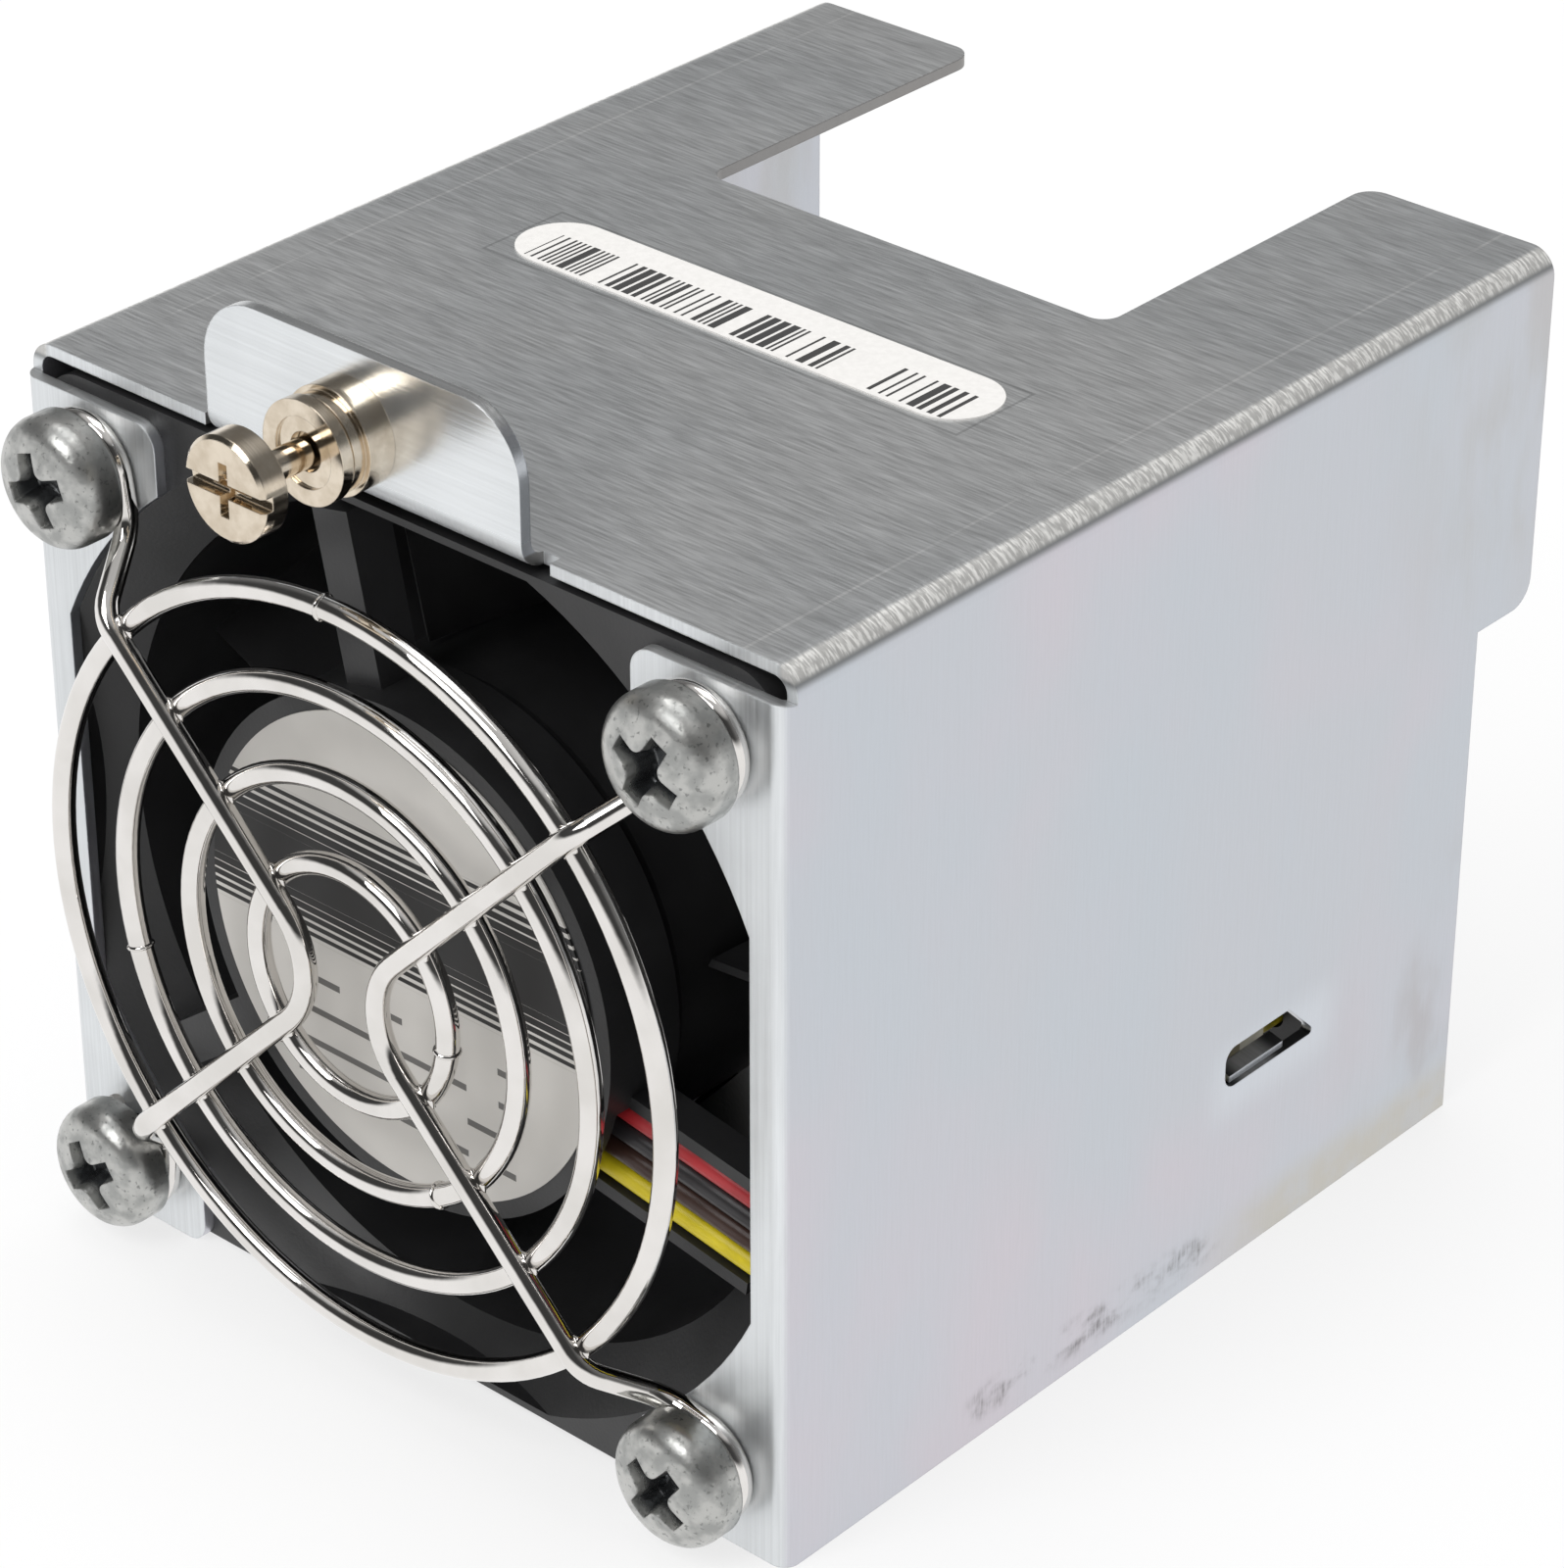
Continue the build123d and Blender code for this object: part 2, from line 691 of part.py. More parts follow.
# One bent strut wire: side +1 is the right strut, -1 the left one
def strut_route(side, turn):
    start = radians(loop_start)
    across = (loop_radius * cos(start), loop_radius * sin(start))
    lead_in = (loop_lead * sin(start), loop_lead * cos(start))
    touch = (half_pitch + across[0], half_pitch - across[1])
    entry = (touch[0] - lead_in[0], touch[1] - lead_in[1])
    middle = radians(loop_start - loop_turn / 2)
    last = radians(loop_start - loop_turn)
    on_arc = (half_pitch + loop_radius * cos(middle), half_pitch - loop_radius * sin(middle))
    tip = (half_pitch + loop_radius * cos(last), half_pitch - loop_radius * sin(last))
    ends = (entry, touch, on_arc, tip)
    if side < 0:
        ends = tuple((b, a) for a, b in ends)
    return [(side * a, turn * b) for a, b in ends]


# The guard's two struts, each one bent wire from screw to screw
loop_plane = ear_face - wire / 2 - settle
strut_plane = ear_face - strut_stand
struts = []
for side in (1, -1):
    upper = strut_route(side, 1)
    lower = strut_route(side, -1)
    leg = side * (leg_end + strut_offset)
    with BuildPart() as strut:
        with BuildLine() as route:
            ThreePointArc(*((a, loop_plane, axis_height + b) for a, b in upper[:0:-1]))
            FilletPolyline(
                (upper[1][0], loop_plane, axis_height + upper[1][1]),
                (upper[0][0], loop_plane, axis_height + upper[0][1]),
                (leg, strut_plane, axis_height + leg_end), (side * strut_offset, strut_plane, axis_height),
                (leg, strut_plane, axis_height - leg_end),
                (lower[0][0], loop_plane, axis_height + lower[0][1]),
                (lower[1][0], loop_plane, axis_height + lower[1][1]),
                radius=[bend_back_radius, bend_back_radius, apex_radius, bend_back_radius, bend_back_radius],
            )
            ThreePointArc(*((a, loop_plane, axis_height + b) for a, b in lower[1:]))
        with BuildSketch(Plane(origin=route.wire() @ 0, z_dir=route.wire() % 0)):
            Circle(wire / 2)
        sweep(path=route.wire())
    struts.append(strut.part)

# Finger guard: four rings with the two struts welded across them
with BuildPart() as guard:
    for k in range(guard_rings):
        with BuildSketch(turned()):
            with Locations((ring_radius - k * ring_pitch, ear_face - ring_stand)):
                Circle(wire / 2)
        revolve(axis=fan_axis)
    add(struts)
keep(guard, "finger_guard")

# Four pan head screws; each cross recess stands at its own angle
head_back = ear_face - wire - head_seat
head_front_point = head_back - head_height
dome_angle = degrees(asin((head_radius - head_round) / (head_dome - head_round))) - quarter_turn
round_middle = head_front_point + head_dome + (head_dome - head_round) * sin(radians(dome_angle))
cross_angles = (32.0, 20.0, 52.0, 62.0)
with BuildPart() as screws:
    places = [(x, z) for x in (-half_pitch, half_pitch) for z in (-half_pitch, half_pitch)]
    for (x, z), angle in zip(places, cross_angles):
        axis = Axis((x, 0, axis_height + z), (0, 1, 0))
        with BuildSketch(turned(x, axis_height + z)):
            with BuildLine():
                Polyline(
                    (0, head_back + wire + screw_length),
                    (screw_radius - sheet, head_back + wire + screw_length),
                    (screw_radius, head_back + wire + screw_length - sheet), (screw_radius, head_back),
                    (head_radius, head_back), (head_radius, round_middle),
                )
                CenterArc((head_radius - head_round, round_middle), head_round, dome_angle, -dome_angle)
                CenterArc((0, head_front_point + head_dome), head_dome,
                          -quarter_turn, quarter_turn + dome_angle)
                Line((0, head_front_point), (0, head_back + wire + screw_length))
            make_face()
        revolve(axis=axis)
        with BuildSketch(seen_from_front(head_front_point, x, axis_height + z)):
            with Locations(Rotation(0, 0, angle)):
                Rectangle(recess_span, recess_width)
                Rectangle(recess_width, recess_span)
            fillet(vertices().sort_by_distance((0, 0))[:4], recess_round)
        extrude(amount=-recess_depth, taper=recess_taper, mode=Mode.SUBTRACT)
keep(screws, "fan_screws")

# Captive screw: a ferrule staked in the tab, a slotted screw and the washer that holds it
with BuildPart() as ferrule:
    with BuildSketch(turned(captive_x, captive_height)):
        band(0, ferrule_base, ear_face - ferrule_base_length, ear_face)
        band(0, ferrule_body, ear_face - ferrule_length, ear_face)
        band(0, ferrule_nose, ear_face - ferrule_length, ear_face - ferrule_length + ferrule_nose_length)
        nose_back = ear_face - ferrule_length + ferrule_nose_length
        band(ferrule_body - ferrule_groove, ferrule_nose, nose_back, nose_back + ferrule_groove,
             mode=Mode.SUBTRACT)
        band(0, ferrule_spigot, ear_face, fan_front)
        band(0, ferrule_step, ear_face - ferrule_length, ear_face - ferrule_length + ferrule_step_depth,
             mode=Mode.SUBTRACT)
        band(0, ferrule_bore, ear_face - ferrule_length, fan_front, mode=Mode.SUBTRACT)
        band(0, washer_radius + play,
             ear_face - ferrule_length + ferrule_face + ferrule_step_depth, fan_front, mode=Mode.SUBTRACT)
    revolve(axis=captive_axis)
keep(ferrule, "captive_ferrule")

washer_front = ear_face - ferrule_length + ferrule_face + ferrule_step_depth + play
washer_back = washer_front + washer_thickness
with BuildPart() as washer:
    with BuildSketch(turned(captive_x, captive_height)):
        band(captive_shank + play, washer_radius, washer_front, washer_back)
    revolve(axis=captive_axis)
keep(washer, "captive_washer")

head_front = ear_face - captive_stand
with BuildPart() as captive:
    with BuildSketch(turned(captive_x, captive_height)):
        with BuildLine():
            Polyline(
                (0, head_front), (captive_head - captive_head_chamfer, head_front),
                (captive_head, head_front + captive_head_chamfer),
                (captive_head, head_front + captive_head_height),
                (0, head_front + captive_head_height), close=True,
            )
        make_face()
        band(0, captive_shank, head_front, washer_back + play)
        band(0, captive_thread, washer_back + play, fan_front)
    revolve(axis=captive_axis)
    with BuildSketch(seen_from_front(head_front - cut, captive_x, captive_height)):
        Rectangle(2 * (captive_head + cut), captive_slot)
    extrude(amount=-captive_slot_depth - cut, mode=Mode.SUBTRACT)
    with BuildSketch(seen_from_front(head_front, captive_x, captive_height)):
        Rectangle(captive_recess, captive_recess_width)
        Rectangle(captive_recess_width, captive_recess)
    extrude(amount=-2 * captive_slot_depth, taper=recess_taper, mode=Mode.SUBTRACT)
keep(captive, "captive_screw")

# Long sticker on the top plate
with BuildPart() as sticker:
    with BuildSketch(Plane.XY.offset(bracket_height)):
        with Locations((0, ear_face + part_label_back + part_label_width / 2)):
            SlotOverall(part_label_length, part_label_width)
    extrude(amount=label_thickness)
keep(sticker, "part_label")

# The four wires: along the channel, back beside the duct, through the tie, into the plug
lead_plane = fan_front + board_front - lead / 2 - settle
for k, name in enumerate(lead_names):
    row = lead_row[k]
    inner = channel * Location((lead_start - lead_overlap, channel_offset + row))
    along = inner.position
    steep = cos(radians(channel_angle))
    corner_z = row_out + row / steep
    tied_z = tie_height + row
    plug_z = plug_height + row * plug_pitch / lead_pitch
    with BuildPart() as wire_run:
        with BuildLine() as route:
            FilletPolyline(
                (along.X, lead_plane, along.Z), (lead_out, lead_plane, corner_z),
                (lead_out, fan_front + lead_drop, corner_z), (lead_out, fan_back - lead_drop, tied_z),
                (lead_out, fan_back + lead_leaves_fan, tied_z),
                (tie_x, fan_back + lead_settle_share * plug_room, tied_z),
                (tie_x, fan_back + lead_leave_share * plug_room, tied_z),
                (plug_x, fan_back + lead_reach_share * plug_room, plug_z),
                (plug_x, plug_face + crimp_place, plug_z),
                radius=[lead_turn] + 2 * [lead_drop_radius] + 4 * [lead_sway],
            )
        with BuildSketch(Plane(origin=route.wire() @ 0, z_dir=route.wire() % 0)):
            Circle(lead / 2)
        sweep(path=route.wire())
    keep(wire_run, name)

# Nylon cable tie around the four wires, with its head towards the middle
tie_middle = fan_back + tie_share * plug_room
tie_inner = (lead + 2 * play, (lead_count - 1) * lead_pitch + lead + 2 * play)
with BuildPart() as tie:
    with BuildSketch(seen_from_front(tie_middle - tie_width / 2, tie_x, tie_height)):
        RectangleRounded(tie_inner[0] + 2 * tie_thickness, tie_inner[1] + 2 * tie_thickness,
                         tie_corner + tie_thickness)
        RectangleRounded(*tie_inner, tie_corner, mode=Mode.SUBTRACT)
    extrude(amount=-tie_width)
    with BuildSketch(seen_from_front(
            tie_middle - tie_head / 2, tie_x - tie_inner[0] / 2 - tie_thickness / 2, tie_height)):
        Rectangle(tie_head_depth + tie_thickness / 2, tie_head, align=(Align.MAX, Align.CENTER))
    extrude(amount=-tie_head)
keep(tie, "cable_tie")

# Plug in the rear flange: one row of four contacts
plug_z_places = [plug_height + row * plug_pitch / lead_pitch for row in lead_row]
with BuildPart() as plug:
    with BuildSketch(seen_from_front(plug_face, plug_x, plug_height)):
        Rectangle(plug_thickness, lead_count * plug_pitch + plug_wall)
    extrude(amount=-plug_length)
    with BuildSketch(seen_from_front(plug_face, plug_x, plug_height)):
        Rectangle(plug_thickness + 2 * plug_shoulder, lead_count * plug_pitch + plug_wall + 2 * plug_shoulder)
    extrude(amount=-plug_shoulder_length)
    with BuildSketch(seen_from_front(plug_face - cut, plug_x, 0)):
        with Locations(*((0, z) for z in plug_z_places)):
            Circle(plug_cavity)
    extrude(amount=-plug_length - 2 * cut, mode=Mode.SUBTRACT)
keep(plug, "plug_housing")

with BuildPart() as contacts:
    with BuildSketch(seen_from_front(plug_face + crimp_place, plug_x, 0)):
        with Locations(*((0, z) for z in plug_z_places)):
            Circle(contact_radius)
    extrude(amount=crimp_place + contact_back - plug_length)
    with BuildSketch(seen_from_front(plug_face + plug_length - contact_back + cut, plug_x, 0)):
        with Locations(*((0, z) for z in plug_z_places)):
            Circle(contact_bore)
    extrude(amount=contact_bore_depth + cut, mode=Mode.SUBTRACT)
keep(contacts, "plug_contacts")
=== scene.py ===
import math

import bmesh
import bpy
from mathutils import Matrix, Vector


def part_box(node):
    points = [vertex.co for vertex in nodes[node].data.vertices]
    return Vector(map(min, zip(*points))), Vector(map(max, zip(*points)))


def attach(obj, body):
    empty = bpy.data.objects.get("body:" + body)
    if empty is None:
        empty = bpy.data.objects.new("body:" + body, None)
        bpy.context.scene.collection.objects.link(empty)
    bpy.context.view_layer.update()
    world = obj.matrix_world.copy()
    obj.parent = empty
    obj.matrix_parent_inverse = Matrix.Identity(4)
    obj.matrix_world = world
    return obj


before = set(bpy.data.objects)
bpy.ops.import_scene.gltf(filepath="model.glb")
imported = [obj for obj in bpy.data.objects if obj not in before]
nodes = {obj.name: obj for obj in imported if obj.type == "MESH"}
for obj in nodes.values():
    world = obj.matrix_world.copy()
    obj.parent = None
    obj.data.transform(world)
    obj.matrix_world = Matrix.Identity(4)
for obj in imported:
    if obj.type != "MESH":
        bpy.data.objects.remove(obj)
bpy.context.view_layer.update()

# Lengths here are in metres, so one millimetre is this
MM = 0.001

# Places read from the frame, and the screws' square
ear_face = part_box("bracket")[0].y
sheet_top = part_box("part_label")[0].z
axis_height = (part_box("fan_housing")[0].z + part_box("fan_housing")[1].z) / 2
bend_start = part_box("bracket")[1].x - 1.6 * MM
head_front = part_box("fan_screws")[0].y
screw_spacing = 50 * MM

# The slot in the right side panel, and the sticker's place on the top plate
slot_front, slot_back = ear_face + 42 * MM, ear_face + 51.6 * MM
slot_low, slot_high = axis_height - 17 * MM, axis_height - 15.6 * MM
sticker_left, sticker_right = -19.4 * MM, 19.2 * MM
sticker_front, sticker_back = ear_face + 28.5 * MM, ear_face + 35.4 * MM


def linear(code):
    """An sRGB hex colour as the linear values that a shader takes."""
    parts = [int(code[k:k + 2], 16) / 255 for k in (0, 2, 4)]
    return tuple(c / 12.92 if c <= 0.04045 else ((c + 0.055) / 1.055) ** 2.4 for c in parts) + (1.0,)


def put(tree, kind, links=None, **settings):
    """Adds one node: settings are its own properties, links are values or sockets for its inputs."""
    made = tree.nodes.new("ShaderNode" + kind)
    for name, value in settings.items():
        setattr(made, name, value)
    for name, value in (links or {}).items():
        if isinstance(value, bpy.types.NodeSocket):
            tree.links.new(value, made.inputs[name])
        else:
            made.inputs[name].default_value = value
    return made


def start(name):
    """A new material with its shader, and the place on the object as a socket."""
    material = bpy.data.materials.new(name)
    material.use_nodes = True
    tree = material.node_tree
    tree.nodes.clear()
    shader = put(tree, "BsdfPrincipled")
    put(tree, "OutputMaterial", {"Surface": shader.outputs[0]})
    place = put(tree, "TexCoord").outputs["Object"]
    return material, tree, shader, place


def patches(tree, place, size, detail, stretch=(1, 1, 1), shift=(0, 0, 0)):
    """Soft random patches about as large as the size in metres, drawn out by the stretch along each axis."""
    scaled = put(tree, "Mapping", {"Vector": place, "Location": shift, "Scale": [1 / s for s in stretch]})
    noise = put(tree, "TexNoise", {"Vector": scaled.outputs[0], "Scale": 1 / size, "Detail": detail})
    return noise.outputs[0]


def slope(value, low, high, least=0.0):
    """One slope of a mask: from the least smoothly up to one while the value goes from low to high."""
    return {"Value": value, "From Min": low, "From Max": high, "To Min": least}


def within(value, low, high, soft):
    """Both slopes of a mask that is one from low to high and fades over the soft length outside them."""
    return slope(value, low - soft, low), slope(value, high + soft, high)


def mask(tree, *parts, strength=None):
    """The product of its parts, which are slopes or sockets, and of its strength where one is given."""
    made = None
    for part in parts if strength is None else (*parts, strength):
        if isinstance(part, dict):
            part = put(tree, "MapRange", part, interpolation_type="SMOOTHSTEP").outputs[0]
        if made is not None:
            part = put(tree, "Math", {0: made, 1: part}, operation="MULTIPLY").outputs[0]
        made = part
    return made


def coats(tree, tone, *layers):
    """Colours laid over a first one in turn, each through its own mask."""
    for cover, colour in layers:
        tone = put(tree, "Mix", {"Factor": cover, 6: tone, 7: colour}, data_type="RGBA").outputs[2]
    return tone


def relief(tree, shader, height, depth, under=None):
    """Bumps the surface by the height, where a height of one stands the given depth out."""
    bump = put(tree, "Bump", {"Height": height, "Distance": depth, "Strength": 1.0})
    if under:
        tree.links.new(under, bump.inputs["Normal"])
    tree.links.new(bump.outputs[0], shader.inputs["Normal"])
    return bump.outputs[0]


def drive(tree, shader, **sockets):
    """Links sockets to the shader's inputs of the same names."""
    for name, socket in sockets.items():
        tree.links.new(socket, shader.inputs[name.replace("_", " ")])


def wear(piece, material):
    """Gives a piece this one material."""
    piece.data.materials.clear()
    piece.data.materials.append(material)


# Camera, solved from the fan's screw square and the sheet's straight edges
EYE_MM = (202.67, -192.95, 177.61)
LOOK = (-0.5720, 0.6424, -0.5100)
FOCAL_MM = 125.51
FILM_MM = 36
camera = bpy.data.objects.new("camera", bpy.data.cameras.new("camera"))
bpy.context.collection.objects.link(camera)
camera.data.lens = FOCAL_MM
camera.data.sensor_width = FILM_MM
camera.data.sensor_fit = "AUTO"
camera.location = (EYE_MM[0] * MM, EYE_MM[1] * MM + ear_face, EYE_MM[2] * MM + axis_height)
camera.rotation_euler = Vector(LOOK).to_track_quat("-Z", "Y").to_euler()
camera.data.clip_start = 10 * MM
bpy.context.scene.camera = camera
bpy.context.scene.view_settings.view_transform = "Standard"


def zinc_sheet():
    """Bright zinc plate under a clear chromate, on cold-rolled sheet steel.

    The rolling shows through as a fine brushed grain, and the chromate gives the sides a lilac and blue cast.
    """
    material, tree, shader, place = start("brushed_zinc_plate_on_sheet_steel")
    x, y, z = put(tree, "SeparateXYZ", {0: place}).outputs
    facing = put(tree, "SeparateXYZ", {0: put(tree, "NewGeometry").outputs["True Normal"]}).outputs
    x_off = put(tree, "Math", {0: x}, operation="ABSOLUTE").outputs[0]
    sideways = put(tree, "Math", {0: facing[0]}, operation="ABSOLUTE").outputs[0]
    upward = mask(tree, slope(facing[2], 0.55, 0.85))
    forward = mask(tree, slope(facing[1], -0.5, -0.9))
    tab = mask(tree, slope(z, sheet_top, sheet_top + 1.5 * MM))
    off_tab = slope(tab, 1.0, 0.0)
    flat_side = mask(tree, slope(sideways, 0.6, 0.9), off_tab)
    right_side = mask(tree, flat_side, slope(x, 0.0, MM))

    # the grain runs around the bends, from side to side on top and up and down on the sides
    # its real lines are some hundredths of a millimetre wide; they are drawn 0.2 mm wide, so that they show
    fine = patches(tree, place, 0.17 * MM, detail=4.0, stretch=(16, 1, 16))
    coarse = patches(tree, place, 0.6 * MM, detail=3.0, stretch=(30, 1, 30))
    ear_grain = patches(tree, place, 0.2 * MM, detail=3.0, stretch=(1, 1, 60))
    tab_grain = patches(tree, place, 0.2 * MM, detail=3.0, stretch=(60, 1, 1))
    grain = put(tree, "Mix", {"Factor": 0.18, 2: fine, 3: coarse}).outputs[0]
    grain = put(tree, "Mix", {"Factor": mask(tree, forward, strength=0.7), 2: grain, 3: ear_grain}).outputs[0]
    grain = put(tree, "Mix", {"Factor": tab, 2: grain, 3: tab_grain}).outputs[0]

    # the chromate's colours drift slowly over the flats
    wide_drift = mask(tree, slope(patches(tree, place, 24 * MM, detail=2.0), 0.35, 0.65))
    drift = patches(tree, place, 14 * MM, detail=3.0, stretch=(1, 1, 2), shift=(0.3, 0.1, 0.2))
    drift = mask(tree, slope(drift, 0.35, 0.7))
    side = coats(tree, linear("CDD0D6"), (wide_drift, linear("D4CFD6")),
                 (mask(tree, drift, strength=0.6), linear("CAD1D8")))
    # the top plate takes a darker copy of the zinc and the front ears a lighter one, by the way they face:
    # painted shade and painted light
    top = coats(tree, linear("C6C8C9"), (wide_drift, linear("CFD0D0")))
    ear = coats(tree, linear("E6E9EB"), (drift, linear("DADDDF")))
    tab_edge = mask(tree, tab, slope(sideways, 0.5, 0.9))
    tone = coats(tree, side, (upward, top), (forward, ear), (tab_edge, linear("B9BDC2")))

    # brown handling stains at the back of the sides, most of all low down
    back = slope(y, ear_face + 52 * MM, ear_face + 72 * MM)
    cloud = slope(patches(tree, place, 5 * MM, detail=4.0, stretch=(1, 1, 2.5)), 0.42, 0.66)
    low = slope(z, axis_height - 6 * MM, axis_height - 20 * MM)
    high = slope(z, axis_height + 2 * MM, axis_height + 18 * MM)
    low_stain = mask(tree, flat_side, back, low, cloud, strength=0.55)
    high_stain = mask(tree, flat_side, back, high, cloud, strength=0.4)
    tone = coats(tree, tone, (low_stain, linear("A89C96")), (high_stain, linear("BDBAB4")))

    # rub marks along the right side's lower edge, and a worn edge behind them
    scuff = patches(tree, place, 1.8 * MM, detail=8.0, stretch=(1, 1.3, 0.8), shift=(0.02, 0, 0))
    scuff = slope(scuff, 0.40, 0.82)
    brushed = slope(patches(tree, place, 0.22 * MM, detail=3.0, stretch=(1, 1, 7)), 0.32, 0.68, least=0.3)
    rub = mask(tree, right_side, scuff, brushed,
               *within(z, axis_height - 28.6 * MM, axis_height - 27.6 * MM, soft=1.5 * MM),
               *within(y, ear_face + 19 * MM, ear_face + 40 * MM, soft=3 * MM))
    mottle = slope(patches(tree, place, 2.6 * MM, detail=6.0), 0.30, 0.62, least=0.55)
    worn = mask(tree, right_side, slope(z, axis_height - 25.6 * MM, axis_height - 28.8 * MM),
                slope(y, ear_face + 38 * MM, ear_face + 50 * MM), mottle)
    tone = coats(tree, tone, (rub, linear("4E4946")), (worn, linear("CBC8C1")))

    # thin scribed lines of the die along both bends, and a fainter frame around the sticker
    broken = slope(patches(tree, place, 6 * MM, detail=3.0), 0.38, 0.55)
    line = mask(tree, *within(x_off, 27.15 * MM, 27.25 * MM, soft=0.12 * MM), upward, broken, strength=0.4)
    stroke, stroke_edge = 0.2 * MM, 0.06 * MM
    outer = mask(tree, *within(x, sticker_left - stroke, sticker_right + stroke, stroke_edge),
                 *within(y, sticker_front - stroke, sticker_back + stroke, stroke_edge))
    inner = mask(tree, *within(x, sticker_left, sticker_right, stroke_edge),
                 *within(y, sticker_front, sticker_back, stroke_edge))
    outline = put(tree, "Math", {0: outer, 1: inner}, operation="SUBTRACT").outputs[0]
    outline = mask(tree, outline, upward, strength=0.3)
    tone = coats(tree, tone, (line, linear("EDEDEC")), (outline, linear("5E6061")))

    # a lighter halo around the slot, a painted highlight that stands in for the dimple pressed there
    reach = 3.5 * MM
    halo = mask(tree, right_side, *within(y, slot_front + 0.6 * MM, slot_back - 0.2 * MM, reach),
                *within(z, slot_low, slot_high, reach), strength=0.5)
    tone = coats(tree, tone, (halo, linear("DDE3E9")))

    # the lip inside the slot is darkened with painted shade, but for a painted lit patch near its front end
    slot = mask(tree, *within(y, slot_front, slot_back, soft=0.2 * MM),
                *within(z, slot_low, slot_high, soft=0.1 * MM), slope(facing[2], 0.2, 0.7), strength=0.96)
    lit_patch = mask(tree, *within(y, slot_front + 2.6 * MM, slot_front + 4.4 * MM, soft=1.6 * MM))
    tone = coats(tree, tone, (slot, coats(tree, linear("101011"), (lit_patch, linear("8C8C8B")))))

    # the sheared edges of the top plate, bare steel gone dull
    sheared = mask(tree, slope(z, sheet_top - 0.85 * MM, sheet_top - 0.8 * MM), slope(tab, 0.1, 0.0),
                   slope(upward, 0.5, 0.0), slope(x_off, bend_start + 0.2 * MM, bend_start),
                   slope(forward, 0.5, 0.0), strength=0.8)
    tone = coats(tree, tone, (sheared, linear("85827D")))

    # the plating crazes over the crest of the bend; a painted highlight lies along the crest, with painted
    # glints over the crazing, above a band of painted shade
    # its real cracks are finer than 0.1 mm and are drawn 0.2 mm wide, so that they show
    bend = mask(tree, slope(x_off, bend_start, bend_start + 0.5 * MM),
                slope(z, sheet_top - 1.5 * MM, sheet_top - 0.9 * MM), slope(tab, 0.2, 0.0))
    crest = mask(tree, bend, slope(z, sheet_top - 1.05 * MM, sheet_top - 0.65 * MM))
    tone = coats(tree, tone, (bend, coats(tree, linear("8F9192"), (crest, linear("E4E3E0")))))
    crazing = patches(tree, place, 0.2 * MM, detail=3.0, stretch=(4, 1, 4))
    # painted glints on the crazing of the crest
    flash = put(tree, "MapRange", {"Value": crazing, "From Min": 0.42, "From Max": 0.62, "To Min": 0.68,
                                   "To Max": 1.1}, interpolation_type="SMOOTHSTEP").outputs[0]
    gain = put(tree, "Mix", {"Factor": crest, 2: 1.0, 3: flash}).outputs[0]

    # the grain is strongest on the top plate, where the light rakes it
    depth = put(tree, "MapRange", {"Value": upward, "To Min": 0.2, "To Max": 0.7}).outputs[0]
    depth = put(tree, "Mix", {"Factor": mask(tree, forward, off_tab), 2: depth, 3: 0.5}).outputs[0]
    streak = put(tree, "Math", {0: grain, 1: 0.5}, operation="SUBTRACT").outputs[0]
    streak = put(tree, "Math", {0: streak, 1: depth, 2: 1.0}, operation="MULTIPLY_ADD").outputs[0]
    streak = mask(tree, streak, gain)
    tone = put(tree, "Mix", {"Factor": 1.0, 6: tone, 7: streak}, data_type="RGBA", blend_type="MULTIPLY")
    metal = put(tree, "MapRange", {"Value": crest, "To Min": 0.9, "To Max": 0.45})
    rough = put(tree, "MapRange", {"Value": grain, "From Min": 0.3, "From Max": 0.7, "To Min": 0.36,
                                   "To Max": 0.5}).outputs[0]
    rough = put(tree, "Mix", {"Factor": tab, 2: rough, 3: 0.24})
    drive(tree, shader, Base_Color=tone.outputs[2], Metallic=metal.outputs[0], Roughness=rough.outputs[0])
    soft_edge = put(tree, "Bevel", {"Radius": 0.15 * MM}, samples=4).outputs[0]
    craze = relief(tree, shader, mask(tree, crazing, crest), depth=0.035 * MM, under=soft_edge)
    relief(tree, shader, grain, depth=0.006 * MM, under=craze)
    return material


def moulded_black(name, shade, light, grit):
    """Glass-filled polyester off the mould: near black and satin, with the fine even grit of the tool.

    The real grit is finer than 0.1 mm and is drawn coarser, in millimetres, so that it shows.
    """
    material, tree, shader, place = start(name)
    speck = patches(tree, place, grit * MM, detail=3.0)
    cloud = mask(tree, slope(patches(tree, place, 6 * MM, detail=2.0), 0.35, 0.7))
    shader.inputs["Roughness"].default_value = 0.38
    drive(tree, shader, Base_Color=coats(tree, linear(shade), (cloud, linear(light))))
    relief(tree, shader, speck, depth=0.012 * MM)
    return material


def guard_nickel():
    """Bright nickel on drawn wire, close to a mirror: each wire has stripes of white floor and dark room."""
    material, tree, shader, place = start("bright_nickel_on_drawn_wire")
    cloud = mask(tree, slope(patches(tree, place, 5 * MM, detail=3.0), 0.3, 0.7))
    rough = put(tree, "MapRange", {"Value": cloud, "To Min": 0.03, "To Max": 0.09},
                interpolation_type="SMOOTHSTEP").outputs[0]
    shader.inputs["Metallic"].default_value = 1.0
    drive(tree, shader, Base_Color=coats(tree, linear("DCD9D5"), (cloud, linear("E9E6E3"))), Roughness=rough)
    relief(tree, shader, patches(tree, place, 1.4 * MM, detail=2.0), depth=0.012 * MM)
    return material


